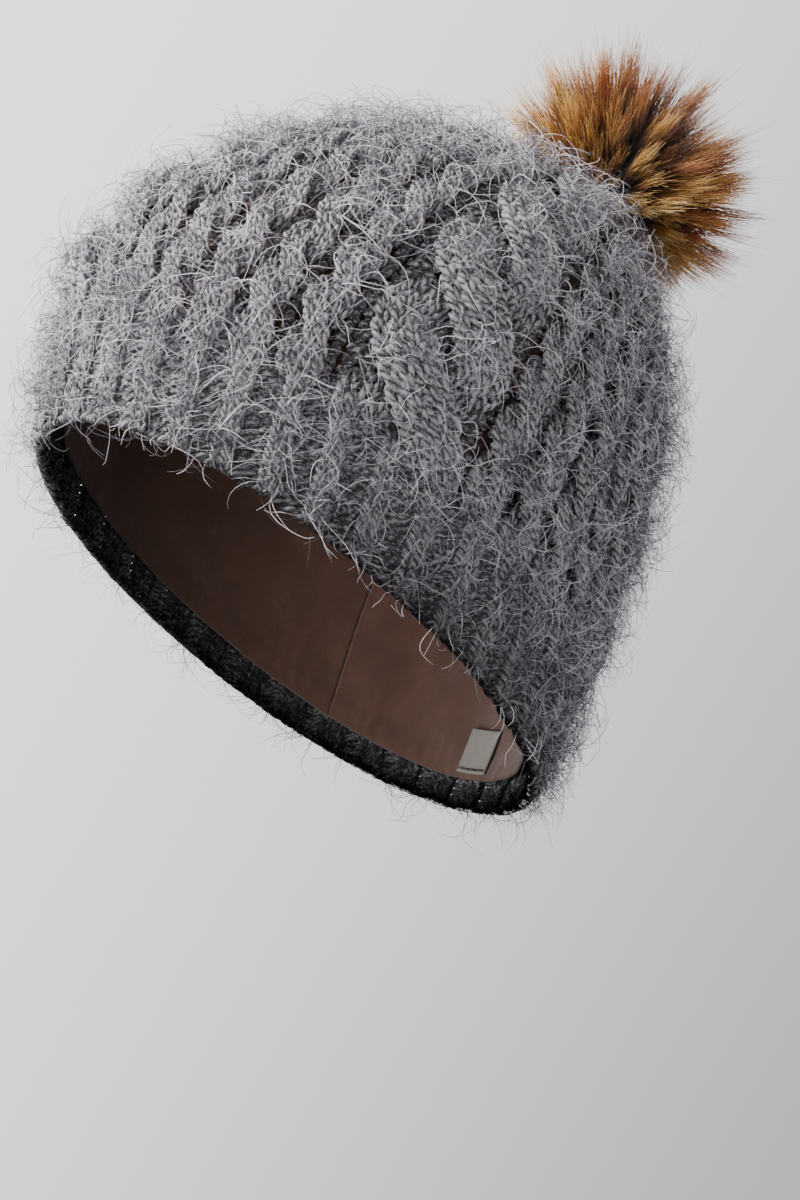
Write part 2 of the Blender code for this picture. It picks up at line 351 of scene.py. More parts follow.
def cloth_material(name, colour, deep, thread=0.45, sheen=0.3, roughness=0.8):
    """Close-woven cloth: crossing threads about half a millimetre apart, with uneven dye and painted
    shade between the threads.
    """
    nodes = Nodes(name, Roughness=roughness, Sheen_Weight=sheen)
    place = nodes.place()
    split = nodes.add("SeparateXYZ", {0: nodes.add("UVMap", uv_map="cloth").outputs["UV"]})
    waves = []
    for axis in (0, 1):
        turns = nodes.math("MULTIPLY", split.outputs[axis], math.pi / thread)
        waves.append(nodes.math("ABSOLUTE", nodes.math("SINE", turns)))
    weave = nodes.math("MULTIPLY", waves[0], waves[1])
    blotch = nodes.noise(place, 90.0, 4.0, 0.6)
    fine = nodes.noise(place, 1500.0, 3.0, 0.6)
    # The weave term is painted shade, darker between the threads; blotch and fine are uneven dye.
    level = nodes.weighed(0.0, (weave, 0.0, 0.5), (blotch, 0.0, 0.5), (fine, 0.5, 0.3))
    nodes.bump(nodes.weighed(weave, (fine, 0.0, 0.4)), 0.00015)
    return nodes.finish(nodes.ramp(level, [(0.15, deep), (0.75, colour)]))


def felt_material(name, colour, deep):
    nodes = Nodes(name, Roughness=0.95, Sheen_Weight=0.4)
    place = nodes.place()
    fibres = nodes.noise(nodes.scaled(place, 1.0, 0.35, 1.0), 1400.0, 5.0, 0.75)
    clouds = nodes.noise(place, 220.0, 3.0, 0.6)
    level = nodes.weighed(0.0, (fibres, 0.0, 0.6), (clouds, 0.0, 0.4))
    nodes.bump(level, 0.0003)
    return nodes.finish(nodes.ramp(level, [(0.3, deep), (0.7, colour)]))


def metal_material(name, colour, worn):
    """Plated metal: fine turning marks, and duller where it rubs."""
    nodes = Nodes(name, Metallic=1.0)
    place = nodes.place()
    marks = nodes.noise(nodes.scaled(place, 1.0, 1.0, 14.0), 900.0, 3.0, 0.6)
    rubbed = nodes.noise(place, 500.0, 4.0, 0.7)
    roughness = nodes.weighed(0.2, (rubbed, 0.0, 0.28))
    nodes.bump(marks, 0.00004)
    return nodes.finish(nodes.ramp(rubbed, [(0.35, colour), (0.75, worn)]), roughness)


# ---- strands ----

def strand_frames(paths):
    """Two directions square to each strand at each point, carried along without twisting."""
    tangents = unit(np.gradient(paths, axis=1))
    side = unit(np.cross(tangents[:, 0], np.array([0.31, 0.52, 0.79])))
    sides = [side]
    for step in range(1, paths.shape[1]):
        tangent = tangents[:, step]
        side = unit(side - tangent * (side * tangent).sum(-1, keepdims=True))
        sides.append(side)
    sides = np.stack(sides, 1)
    return sides, np.cross(tangents, sides)


def new_mesh_object(name, points, loops, starts, material, smooth=True):
    mesh = bpy.data.meshes.new(name)
    mesh.vertices.add(len(points))
    mesh.vertices.foreach_set("co", (points * MM).astype(np.float32).ravel())
    mesh.loops.add(len(loops))
    mesh.loops.foreach_set("vertex_index", loops.astype(np.int32))
    mesh.polygons.add(len(starts))
    mesh.polygons.foreach_set("loop_start", starts.astype(np.int32))
    mesh.polygons.foreach_set("use_smooth", np.full(len(starts), smooth))
    mesh.update(calc_edges=True)
    mesh.materials.append(material)
    return new_object(name, mesh)


def tube_object(name, rings, material, joined=False):
    """Closed tubes from rings of points (count, rings, sides, 3), and their quads and caps.

    Both ends are capped, or, where they are joined, the last ring meets the first.
    """
    count, length, sides, _ = rings.shape
    index = np.arange(count * length * sides).reshape(count, length, sides)
    ahead = np.roll(index, -1, axis=2)
    quads = np.stack([index, ahead, np.roll(ahead, -1, axis=1), np.roll(index, -1, axis=1)], -1)
    caps = np.concatenate([index[:, 0, ::-1], index[:, -1]])
    if joined:
        caps = caps[:0]
    else:
        quads = quads[:, :-1]
    quads = quads.reshape(-1, 4)
    starts = np.concatenate([np.arange(len(quads)) * 4,
                             len(quads) * 4 + np.arange(len(caps)) * sides])
    item = new_mesh_object(name, rings.reshape(-1, 3), np.concatenate([quads.ravel(), caps.ravel()]),
                           starts, material)
    return item, quads, caps


def place_piece(item, body):
    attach(item, body)


def add_uv(item, name, uv):
    item.data.uv_layers.new(name=name).data.foreach_set("uv", uv.astype(np.float32).ravel())


def strand_object(name, paths, radii, tones, material, sides):
    """Closed tubes along the paths (count, points, 3), with radii (count, points) in millimetres.

    The tones are one for each strand, or one for each point.
    """
    count, points, _ = paths.shape
    tones = np.broadcast_to(tones.reshape(count, -1), (count, points))
    across, over = strand_frames(paths)
    turns = circle(sides)[:, None]
    rings = (paths[:, :, None]
             + radii[:, :, None, None] * (across[:, :, None] * np.cos(turns)
                                          + over[:, :, None] * np.sin(turns)))
    item, quads, caps = tube_object(name, rings, material)

    steps = spans(paths, 1)
    travel = np.concatenate([np.zeros((count, 1)), np.cumsum(steps, 1)], 1)
    share = travel / np.maximum(travel[:, -1:], 1e-9)
    for attribute, values in (("along", share), ("tone", tones)):
        layer = item.data.attributes.new(attribute, "FLOAT", "POINT")
        layer.data.foreach_set("value", np.repeat(values.ravel(), sides).astype(np.float32))
    # Each strand's texture starts at a place of its own.
    distance = np.repeat((travel + tones[:, :1] * 37.0).ravel(), sides)
    around = (quads[:, :1] % sides + np.array([0, 1, 1, 0])) / sides
    quad_uv = np.stack([distance[quads], around], -1).reshape(-1, 2)
    add_uv(item, "strand", np.concatenate([quad_uv, np.zeros((caps.size, 2))]))
    return item


MAX_FACES = 190000


def strand_pieces(name, paths, radii, tones, material, sides, body, slot):
    """The same as strand_object, split into numbered pieces of a moderate size."""
    faces_each = (paths.shape[1] - 1) * sides * 2 + 2 * (sides - 2)
    parts = int(math.ceil(len(paths) * faces_each / MAX_FACES))
    pieces = []
    for number, chosen in enumerate(np.array_split(np.arange(len(paths)), parts)):
        piece = strand_object(f"{name}_{number + 1:02d}", paths[chosen], radii[chosen],
                              tones[chosen], material, sides)
        place_piece(piece, body)
        pieces.append(piece)
    return pieces


# ---- the knitting chart ----

RIB_ROW = 2.65
BODY_ROW = 4.1
RIB_TOP = 38.0
FIRST_ROW = 2.9
LAST_ROW = 227.0
PANEL_START = math.radians(-37.0)
GROUPS = 36
GROUP_ANGLE = math.radians(10.0)
PANELS = 4
PANEL_GROUPS = 3
PANEL_PERIOD = 38.0
PANEL_FIRST_CROSS = 36.0
TWIST_PERIOD = 19.0
LOOP_POINTS = 13
YARN_RADIUS = 1.2
MERGE_SHIFT = 0.48
# Depths from the wall's surface: a stitch above RAISED carries fibres, and the yarn's tone
# carries painted shade, darkest at DEEPEST and lightest at SHALLOWEST.
RAISED = -2.4
DEEPEST = -5.4
SHALLOWEST = 0.2


@dataclass
class Wale:
    """One column of stitches: where it runs in its group, how it crosses, and how it ends.

    Places are counted in wales. A wale of a cable strand swings about its centre, with an
    offset across the strand. A purl wale draws inwards where the strands beside it cross.
    Between the two heights of its ending a wale is knitted away, or it merges: it grows to
    twice its width and takes the place of the wale before it as well.
    """

    centre: float
    base: float
    purl: bool = False
    weight: float = 1.0
    ending: tuple = None
    merges: bool = False
    swing: float = 0.0
    offset: float = 0.0
    lift: float = 0.0
    round_off: float = 0.0
    inward: float = 0.0

    def ended(self, up):
        """How far its ending has come, from 0 to 1, at each height."""
        if self.ending is None:
            return np.zeros(np.shape(up))
        return smooth_step(*self.ending, up)

    def kept(self, up):
        """The share of its width that is not knitted away yet."""
        return np.ones(np.shape(up)) if self.merges else 1.0 - self.ended(up)

    def grown(self, up):
        """How far it has grown over the wale before it, from 0 to 1."""
        return self.ended(up) if self.merges else np.zeros(np.shape(up))


def rib_group():
    return [Wale(0.5, -3.4, purl=True, weight=1.15), Wale(1.5, -1.05, weight=0.85),
            Wale(2.5, -1.05, weight=0.85), Wale(3.5, -3.4, purl=True, weight=1.15)]


def twist_group():
    """Two strands of two wales that cross over each other, and a sunken purl wale beside them."""
    wales = []
    for swing in (-1.0, 1.0):
        for number in range(2):
            wales.append(Wale(2.0, -1.4, swing=swing, offset=number - 0.5, lift=2.1 * swing,
                              ending=(162.0, 178.0), merges=number == 1))
    wales.append(Wale(4.5, -3.8, purl=True, weight=0.85, ending=(138.0, 154.0)))
    return wales


def panel_group():
    """The wide rope cable: two strands of four wales over a filling wale, between purl wales."""
    sides = (196.0, 212.0)
    wales = [Wale(0.5, -3.9, purl=True, weight=0.9, ending=sides, inward=0.9)]
    for swing in (-2.6, 2.6):
        for number in range(4):
            offset = (number - 1.5) * 0.92
            wales.append(Wale(5.0, -2.2, swing=swing, offset=offset, lift=1.25 * swing,
                              round_off=2.1 * math.cos(offset * 0.85),
                              ending=(172.0, 188.0), merges=number % 2 == 1))
    wales.append(Wale(5.0, -4.3, ending=sides))
    wales.append(Wale(9.5, -3.9, purl=True, weight=0.9, ending=sides, inward=-0.9))
    return wales


def panel_lean(up):
    """The knitting turns a little to the front as it climbs."""
    return -math.radians(5.0) * smooth_step(85.0, 165.0, up)


@dataclass
class Group:
    """A run of wales that fills a fixed angle of the hat."""

    wales: list
    start: float
    width: float
    period: float
    first_cross: float

    @property
    def places(self):
        return int(max(wale.centre for wale in self.wales) + 0.9)

    def weights(self, up):
        """The share of the group's width that each place takes, at each height."""
        shares = []
        for number in range(self.places):
            here = [wale for wale in self.wales if wale.centre == number + 0.5]
            shares.append(here[0].weight * here[0].kept(up) if here else np.ones(np.shape(up)))
        return np.stack(shares, -1)

    def angle(self, place, up):
        """The angle of a place counted in wales, which follows the wales' changing widths."""
        weights = self.weights(up)
        edges = np.concatenate([np.zeros((*np.shape(up), 1)), np.cumsum(weights, -1)], -1)
        edges = edges / edges[..., -1:]
        place = np.clip(place, -0.4, self.places + 0.4)
        index = np.clip(place.astype(int), 0, self.places - 1)
        low = np.take_along_axis(edges, index[..., None], -1)[..., 0]
        high = np.take_along_axis(edges, index[..., None] + 1, -1)[..., 0]
        share = low + (high - low) * (place - index)
        return self.start + panel_lean(up) + self.width * share

    def crossing(self, up):
        """How far round its turn the rope is, in radians."""
        return math.pi * np.maximum(up - self.first_cross, 0.0) / self.period

    def wale_width(self, up):
        """Mean width of a wale, in millimetres."""
        left, _ = wall(self.start, up)
        right, _ = wall(self.start + self.width, up)
        return np.linalg.norm(right - left, axis=-1) / self.weights(up).sum(-1)


def lay_out_groups():
    """The brim's ribs all round, and above them a rope cable and six twists in each quarter."""
    ribs, cables = [], []
    for number in range(GROUPS):
        start = PANEL_START + GROUP_ANGLE * number
        ribs.append(Group(rib_group(), start, GROUP_ANGLE, TWIST_PERIOD, first_cross=math.inf))
        place = number % (GROUPS // PANELS)
        if place == 0:
            cables.append(Group(panel_group(), start, GROUP_ANGLE * PANEL_GROUPS,
                                PANEL_PERIOD, PANEL_FIRST_CROSS))
        elif place >= PANEL_GROUPS:
            first = RIB_TOP + 3.0 + 6.0 * (number % 2) + 2.0 * math.sin(number * 2.3)
            cables.append(Group(twist_group(), start, GROUP_ANGLE, TWIST_PERIOD, first))
    return ribs, cables


def loop_shape(purl, row):
    """One stitch from its left foot over its head to its right foot: across, up and out."""
    # Its feet reach a little into the loops beside it, and its head into the row above.
    turn = np.linspace(-math.pi * 1.04, math.pi * 1.04, LOOP_POINTS)
    across = (turn + 1.75 * np.sin(2.0 * turn)) / math.tau
    upwards = 0.80 * row * np.cos(turn)
    outwards = np.cos(2.0 * turn)
    if not purl:
        outwards = -outwards - 0.5 * smooth_step(0.70 * math.pi, 0.94 * math.pi, np.abs(turn))
    return across, upwards, outwards


def place_stitch(group, wale, rows, across, upwards):
    """Where a stitch's points lie: place in wales and height up the wall.

    The stitches of a cable strand are turned to stand square across the strand.
    """
    up = rows + upwards
    turn = group.crossing(up)
    crossed = np.abs(np.sin(turn))
    slope = -wale.swing * group.wale_width(up) * math.pi / group.period * np.sin(turn)
    slope = np.where(up > group.first_cross, slope, 0.0)
    length = np.sqrt(1.0 + slope ** 2)
    grown = wale.grown(rows)
    width = (1.0 + 0.9 * abs(wale.inward) * crossed) * (1.0 + grown)
    aside = wale.offset - MERGE_SHIFT * grown + across * width
    place = (wale.centre + wale.swing * np.cos(turn) + wale.inward * crossed + aside / length)
    return place, up - slope * aside * group.wale_width(up) / length, turn


def knit_stitches(groups, first_row, last_row, row_height, wobbles):
    """Paths, radii, tones and outward normals of stitches, and which of them stand out. The tones carry
    painted shade, darker on deeper stitches, mixed with random tone.
    """
    paths, radii, painted_depth_shades, normals, raised = [], [], [], [], []
    rows = np.arange(first_row, last_row, row_height)
    for group in groups:
        for wale in group.wales:
            across, upwards, outwards = loop_shape(wale.purl, row_height)
            width = group.wale_width(rows) * wale.weight * (1.0 + wale.grown(rows))
            # A wale ends where about half of it is knitted away, or where it gets too narrow.
            knitted = (wale.kept(rows) > 0.45) & (width > 0.8)
            row, wide = rows[knitted][:, None], width[knitted][:, None]
            place, up, turn = place_stitch(group, wale, row, across, upwards)
            angle = group.angle(place, up)
            radius = np.minimum(YARN_RADIUS, 0.27 * wide) * np.ones_like(up)
            depth = (wale.base + wale.round_off + wale.lift * np.sin(turn)
                     + outwards * 0.85 * radius)
            sway, rise, swell = (wobble(angle, up) for wobble in wobbles)
            angle = angle + sway * math.radians(0.3)
            up = np.clip(up + 0.6 * rise, 0.9, LAST_ROW + 3.0)
            points, normal = wall(angle, up, depth + 0.45 * swell)
            paths.append(points)
            radii.append(radius)
            # Painted shade: the deeper the stitch lies, the darker its tone.
            painted_depth_shades.append(smooth_step(DEEPEST, SHALLOWEST, depth))
            normals.append(normal)
            raised.append(depth.mean(1) > RAISED)
    paths, radii, painted_depth_shades, normals, raised = map(
        np.concatenate, (paths, radii, painted_depth_shades, normals, raised))
    random = np.random.default_rng(SEED)
    radii = radii * random.uniform(0.93, 1.07, (len(radii), 1))
    # The tone is mostly painted shade by depth, with some random tone per stitch.
    tones = 0.65 * painted_depth_shades + 0.35 * random.uniform(0.0, 1.0, (len(radii), 1))
    return paths, radii, tones, normals, raised


def build_knit(material):
    ribs, cables = lay_out_groups()
    wobbles = [Wobble(SEED + n, 60, 34) for n in range(3)]
    rib = knit_stitches(ribs, FIRST_ROW, RIB_TOP, RIB_ROW, wobbles)
    body = knit_stitches(cables, RIB_TOP + 0.6, LAST_ROW, BODY_ROW, wobbles)
    for name, node, stitches in (("rib_stitches", "rib_brim", rib),
                                 ("cable_stitches", "knit_body", body)):
        for piece in strand_pieces(name, *stitches[:3], material, 6, "hat", "yarn"):
            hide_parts(node)
    return rib, body


# ---- loose fibres ----

# In millimetres: how far fibres stand out from the wall, how far they sink in, and how far they
# hang below the brim.
FIBRE_REACH = 13.0
FIBRE_SINK = 1.0
LOWEST_FIBRE = 12.0


def fibre_paths(roots, outwards, lengths, points, random, spread, curl, droop):
    """Curling hairs: they leave outwards with some spread, turn by up to curl radians, and droop.

    Nearing their reach they bend over to lie along the wall, and those that hang below the
    brim turn aside in the same way.
    """
    count = len(roots)
    heading = unit(outwards + random.normal(0.0, spread, (count, 3)))
    heading = heading - outwards * np.minimum((heading * outwards).sum(-1, keepdims=True), 0.0)
    bend = random.normal(0.0, 1.0, (count, 3))
    bend = unit(bend - heading * (bend * heading).sum(-1, keepdims=True))
    swirl = np.cross(heading, bend)
    share = np.linspace(0.0, 1.0, points)[None, :, None]
    turn = random.uniform(0.15, 1.0, (count, 1, 1)) * curl
    path = (heading[:, None] * np.sin(turn * share)
            + bend[:, None] * (1.0 - np.cos(turn * share))) / turn
    twist = random.uniform(-0.5, 0.5, (count, 1, 1))
    path = path + twist * share ** 2 * swirl[:, None]
    ripple = random.uniform(-0.08, 0.08, (count, 1, 1))
    path = path + ripple * np.sin(share * math.tau * 1.2) * (bend + swirl)[:, None]
    path[..., 2] -= droop * share[..., 0] ** 2
    steps = spans(path, 1).sum(1)
    path = path * (lengths / steps)[:, None, None]
    height = (path * outwards[:, None]).sum(-1)
    allowed = np.maximum(FIBRE_REACH * np.tanh(height / FIBRE_REACH), -FIBRE_SINK)
    path = path + outwards[:, None] * (allowed - height)[..., None]
    hang = roots[:, None, 2] + LOWEST_FIBRE
    path[..., 2] = np.maximum(path[..., 2], -hang * np.tanh(-path[..., 2] / hang))
    return roots[:, None] + path


def taper(count, points, root, tip, random):
    thickness = root + (tip - root) * np.linspace(0.0, 1.0, points) ** 1.5
    return thickness * random.uniform(0.75, 1.25, (count, 1))


def yarn_roots(stitches, count, random, tuft=1):
    """Random places on the outer side of the upper stitches, with the wall's normal there."""
    paths, radii, _, normals, raised = stitches
    chosen = random.choice(np.flatnonzero(raised), count // tuft + 1)
    stitch = np.repeat(chosen, tuft)[:count]
    point = random.integers(1, paths.shape[1] - 1, count)
    outwards = normals[stitch, point]
    return paths[stitch, point] + outwards * radii[stitch, point, None] * 0.6, outwards


def build_fuzz(rib, body):
    random = np.random.default_rng(SEED + 10)
    # Half of the fibres are dark, and some are nearly white.
    haze = fibre_material("haze_fibre", [(0.0, (0.02, 0.018, 0.025)), (0.65, (0.07, 0.062, 0.085)),
                                         (1.0, (0.45, 0.41, 0.48))])
    lash = fibre_material("eyelash_fibre", [(0.0, (0.03, 0.026, 0.035)), (0.40, (0.15, 0.135, 0.16)),
                                            (0.65, (0.74, 0.69, 0.74)), (1.0, (0.95, 0.91, 0.94))])
    tuft_fibre = fibre_material("tuft_fibre", [(0.0, (0.02, 0.017, 0.025)), (0.50, (0.08, 0.068, 0.09)),
                                               (0.75, (0.50, 0.45, 0.50)), (1.0, (0.90, 0.84, 0.89))])
    share = len(rib[0]) / (len(rib[0]) + len(body[0]))
    # Hairs, hairs in a tuft, points, shortest and longest, spread, curl, droop, and radius at the
    # root and the tip. Lengths and radii are in millimetres.
    for name, total, tuft, points, low, high, spread, curl, droop, root, tip, material in (
            ("haze", 15000, 1, 4, 1.5, 5.0, 1.2, 2.0, 0.1, 0.055, 0.03, haze),
            ("eyelash", 17000, 2, 9, 8.0, 27.0, 0.8, 3.4, 0.15, 0.125, 0.055, lash),
            ("tuft", 5600, 14, 7, 3.5, 13.0, 0.6, 3.0, 0.1, 0.09, 0.045, tuft_fibre)):
        for part, stitches, amount in (("rib", rib, share), ("body", body, 1.0 - share)):
            count = int(total * amount)
            roots, outwards = yarn_roots(stitches, count, random, tuft)
            lengths = low + (high - low) * random.power(0.85, count)
            paths = fibre_paths(roots, outwards, lengths, points, random, spread, curl, droop)
            strand_pieces(f"{name}_{part}", paths, taper(count, points, root, tip, random),
                          random.uniform(0.0, 1.0, count), material, 3, "hat", "yarn")


# ---- sewn pieces ----

def cloth_object(name, outside, inside, material, body):
    """A closed sheet from two grids of points (rows, columns, 3) in millimetres."""
    rows, columns, _ = outside.shape
    top = np.arange(rows * columns).reshape(rows, columns)
    under = top + rows * columns

    def quads(grid):
        corners = [grid[:-1, :-1], grid[:-1, 1:], grid[1:, 1:], grid[1:, :-1]]
        return np.stack(corners, -1).reshape(-1, 4)

    def edge(first, second):
        return np.stack([first[1:], first[:-1], second[:-1], second[1:]], -1)

    faces = np.concatenate([
        quads(top), quads(under)[:, ::-1],
        edge(top[0], under[0]), edge(under[-1], top[-1]),
        edge(under[:, 0], top[:, 0]), edge(top[:, -1], under[:, -1]),
    ])
    item = new_mesh_object(name, np.concatenate([outside.reshape(-1, 3), inside.reshape(-1, 3)]),
                           faces.ravel(), np.arange(len(faces)) * 4, material)
    across = running_total(spans(outside, 1).mean(0))
    upward = running_total(spans(outside, 0).mean(1))
    spread = np.stack(np.meshgrid(across, upward), -1).reshape(-1, 2)
    add_uv(item, "cloth", np.concatenate([spread, spread])[faces.ravel()])
    place_piece(item, body)
    return item, sheet_size(outside)


def sheet_size(grid):
    """Greatest width and mean length of a grid of points in metres, and its area."""
    width = spans(grid, 1).sum(1).max() * MM
    length = spans(grid, 0).sum(0).mean() * MM
    one = np.cross(grid[1:, :-1] - grid[:-1, :-1], grid[:-1, 1:] - grid[:-1, :-1])
    two = np.cross(grid[:-1, 1:] - grid[1:, 1:], grid[1:, :-1] - grid[1:, 1:])
    area = (np.linalg.norm(one, axis=-1).sum() + np.linalg.norm(two, axis=-1).sum()) / 2.0
    return width, length, area * MM * MM


def lining_depth(up):
    """Depth of the lining's outer face, which sinks at the crown to clear the stud's cap."""
    station = np.interp(up, CLIMB, STATIONS)
    return LINING_DEPTH + LINING_DROP * smooth_step(5.5, 7.5, station)


def ring_distance(station):
    return float(np.interp(station, STATIONS, CLIMB))


def build_lining():
    cloth = cloth_material("brown_lining", (0.17, 0.075, 0.042), (0.055, 0.024, 0.015))
    folds = Wobble(SEED + 30, 34, 7)
    gathers = Wobble(SEED + 31, 60, 20)
    hem, top = ring_distance(0.42), ring_distance(7.9)
    for number, side in enumerate(("left", "back", "right", "front")):
        middle = number * math.pi / 2
        edge = math.pi / 4 - math.radians(0.04)
        across = np.linspace(-1.0, 1.0, 121)[None, :]
        up = np.linspace(0.0, 1.0, 81)[:, None] ** 1.3 * (top - hem) + hem
        angle = middle + edge * across
        # Puckers fade away from the hem stitching and from the seams at the gore's edges.
        from_hem = up - hem
        from_seam = (1.0 - np.abs(across)) * 60.0
        ripple = 0.5 + 0.5 * gathers(angle, up)
        pucker = ripple * (np.exp(-from_hem / 12.0) * np.sin(angle * 71.0 + 2.6 * np.sin(angle * 17.0))
                           + np.exp(-from_seam / 4.0) * np.sin(up * 0.62 + 1.4 * np.sin(up * 0.21)))
        turned_edge = smooth_step(8.5, 7.0, from_hem) - smooth_step(1.0, 0.0, from_hem)
        billow = folds(angle, up) * smooth_step(0.0, 25.0, from_hem) + 0.4 * gathers(angle, up)
        sink = (lining_depth(up) + 0.55 + 0.45 * pucker * smooth_step(0.0, 2.0, from_hem)
                + 0.35 * turned_edge + 1.1 * (billow + 0.4) * smooth_step(0.0, 8.0, from_seam))
        outside, _ = wall(angle, up, -sink)
        inside, _ = wall(angle, up, -(sink + 0.7))
        piece, (width, length, area) = cloth_object("lining_gore_" + side, outside, inside, cloth,
                                                    "hat")
        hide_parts("lining_" + side)


def build_label(thread):
    tape = cloth_material("blank_tape", (0.42, 0.39, 0.34), (0.24, 0.22, 0.19), 0.3, 0.2, 0.55)
    half = math.radians(5.7)
    angle = BACK + half * np.linspace(-1.0, 1.0, 17)[None, :]
    up = np.linspace(ring_distance(0.48), ring_distance(1.01), 25)[:, None]
    free = np.linspace(0.0, 1.0, 25)[:, None] ** 2
    cupped = 0.35 * np.cos(np.linspace(-1.2, 1.2, 17))
    curl = free * (cupped + 0.15 * np.sin(np.linspace(0.0, 5.0, 17)))[None, :]
    sink = lining_depth(up) + 2.6 + curl
    outside, _ = wall(angle, up, -sink)
    inside, _ = wall(angle, up, -(sink + 0.45))
    piece, (width, length, area) = cloth_object("folded_label", outside, inside, tape, "hat")
    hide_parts("care_label")

    # A row of stitches holds its lower edge.
    across = np.linspace(-0.92, 0.92, 61)
    line, _ = wall(BACK + half * across, up[0, 0] + 1.4,
                   -(LINING_DEPTH + 2.9 + 0.55 * np.sin(across * 28.0)))
    thread_object("label_stitching", line, False, 0.45, 12, thread, "hat")


def wound_plies(line, cyclic, plies, radius, turns):
    """Strands wound round a centre line of points (count, 3): a rope of that many plies."""
    points = len(line)
    tangents = unit(np.gradient(line, axis=0))
    if cyclic:
        tangents[0] = tangents[-1] = unit(line[1] - line[-2])
    side = unit(np.cross(tangents, np.array([0.2, 0.3, 0.93])))
    over = np.cross(tangents, side)
    paths = []
    for ply in range(plies):
        phase = math.tau * (turns * np.linspace(0.0, 1.0, points) + ply / plies)
        aside = side * np.cos(phase)[:, None] + over * np.sin(phase)[:, None]
        paths.append(line + radius * 0.5 * aside)
    return np.stack(paths), np.full((plies, points), radius * 0.56)


def thread_object(name, line, cyclic, radius, turns, material, body, plies=3):
    paths, radii = wound_plies(line, cyclic, plies, radius, turns)
    tones = np.linspace(0.2, 0.8, plies)
    item = strand_object(name, paths, radii, tones, material, 6)
    place_piece(item, body)
    return item


def build_wall_threads(yarn, thread):
    middle = -(KNIT_THICK + 1.2)
    around = np.linspace(0.0, math.tau, 721)
    # The hem stitches weave between the knitting and the lining.
    depth = middle + 0.35 * np.sin(around * 90.0)
    hem_line, _ = wall(around, ring_distance(0.50), depth)
    hem = thread_object("hem_stitching", hem_line, True, 0.5, 240, thread, "hat")
    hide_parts("lining_hem_thread")

    up = np.linspace(ring_distance(0.62), ring_distance(7.0), 420)
    seam_line, _ = wall(BACK + math.radians(0.25) * np.sin(up * 1.6), up, middle)
    seam = thread_object("back_seam", seam_line, False, 0.8, 48, yarn, "hat")
    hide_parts("back_seam_yarn")

    around = np.linspace(0.0, math.tau, 241)
    line, _ = wall(around, ring_distance(7.40) + 0.3 * np.sin(around * 18.0), middle)
    gather = thread_object("crown_gather", line, True, 0.8, 16, yarn, "hat")
    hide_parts("crown_gather_yarn")


def build_edge_cord(yarn):
    """The cast-on edge: a row of small slanting loops round the brim, two for each wale."""
    count = GROUPS * len(rib_group()) * 2
    angle = circle(count) + PANEL_START
    turn = np.linspace(-1.0, 1.0, 7)
    lean = angle[:, None] + turn[None, :] * math.radians(1.5)
    up = 1.75 + 0.75 * np.sin(turn * math.pi / 2)
    depth = -2.4 + 1.3 * np.cos(turn * math.pi / 2)
    points, _ = wall(lean, up, depth)
    random = np.random.default_rng(SEED + 4)
    radii = np.full((count, 7), 0.8) * random.uniform(0.9, 1.1, (count, 1))
    tones = random.uniform(0.0, 1.0, count)
    strand_pieces("cast_on_edge", points, radii, tones, yarn, 6, "hat", "yarn")


# ---- the pom ----

def on_axis(across, back, along):
    """Points from coordinates square to and along the press stud's axis, in millimetres."""
    across, back, along = np.broadcast_arrays(across, back, along)
    return (CROWN + across[..., None] * AXIS_SIDE + back[..., None] * AXIS_BACK
            + along[..., None] * AXIS_UP)


def turned_grid(radius, height, steps):
    around = circle(steps)
    radius = radius[:, None]
    return on_axis(radius * np.cos(around), radius * np.sin(around), height[:, None])


def turned_object(name, grid, material, body, joined=False):
    """A closed body from rings of points (rows, steps, 3), with its place on the grid as its UV."""
    item, quads, caps = tube_object(name, grid[None], material, joined)
    corners = np.concatenate([quads.ravel(), caps.ravel()])
    add_uv(item, "cloth", np.stack([corners % grid.shape[1], corners // grid.shape[1]], -1))
    place_piece(item, body)
    return item


def round_sheet(area, cut=None):
    """The width of a sheet cut as a circle, worked out from its area where none is given; nothing is
    done with it.
    """
    cut = cut or math.sqrt(4.0 * area / math.pi)


def build_fur_bag():
    """The bag of the fur's backing cloth, pleated where its mouth is drawn in."""
    backing = cloth_material("fur_backing", (0.26, 0.15, 0.08), (0.12, 0.06, 0.03), 0.5)
    steps, rows, pleats = 72, 30, 12
    mouth = math.pi - math.asin(BAG_MOUTH_RADIUS / BAG_RADIUS)
    polar = np.concatenate([np.linspace(mouth, 0.04, rows), np.linspace(0.04, mouth, rows)])
    shell = np.repeat([BAG_RADIUS - 0.1, BAG_RADIUS - 1.0], rows)
    grid = turned_grid(shell * np.sin(polar), BAG_CENTRE + shell * np.cos(polar), steps)
    centre = CROWN + AXIS_UP * BAG_CENTRE
    pleat = 0.03 * np.cos(circle(steps) * pleats)[None, :]
    pull = smooth_step(0.35 * mouth, mouth, polar)[:, None] * pleat
    grid = centre + (grid - centre) * (1.0 + pull[..., None] - 0.02)
    bag = turned_object("fur_bag", grid[::-1], backing, "pom_ball")
    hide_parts("pom_fur_backing")
    # A flat circle has the area of the sphere's part that it covers.
    area = math.tau * (BAG_RADIUS * MM) ** 2 * (1.0 - math.cos(mouth))
    round_sheet(area)


def build_stuffing():
    wadding = felt_material("wadding", (0.86, 0.85, 0.82), (0.62, 0.61, 0.58))
    polar = np.linspace(math.pi - 0.05, 0.05, 28)[:, None]
    around = circle(48)
    lumps = Wobble(SEED + 41, 9, 6)
    radius = 11.0 + 0.4 * lumps(around, polar * 60.0)
    across = radius * np.sin(polar)
    points = on_axis(across * np.cos(around), across * np.sin(around),
                     BAG_CENTRE + radius * np.cos(polar))
    stuffing = turned_object("stuffing_ball", points, wadding, "pom_ball")
    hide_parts("pom_stuffing")


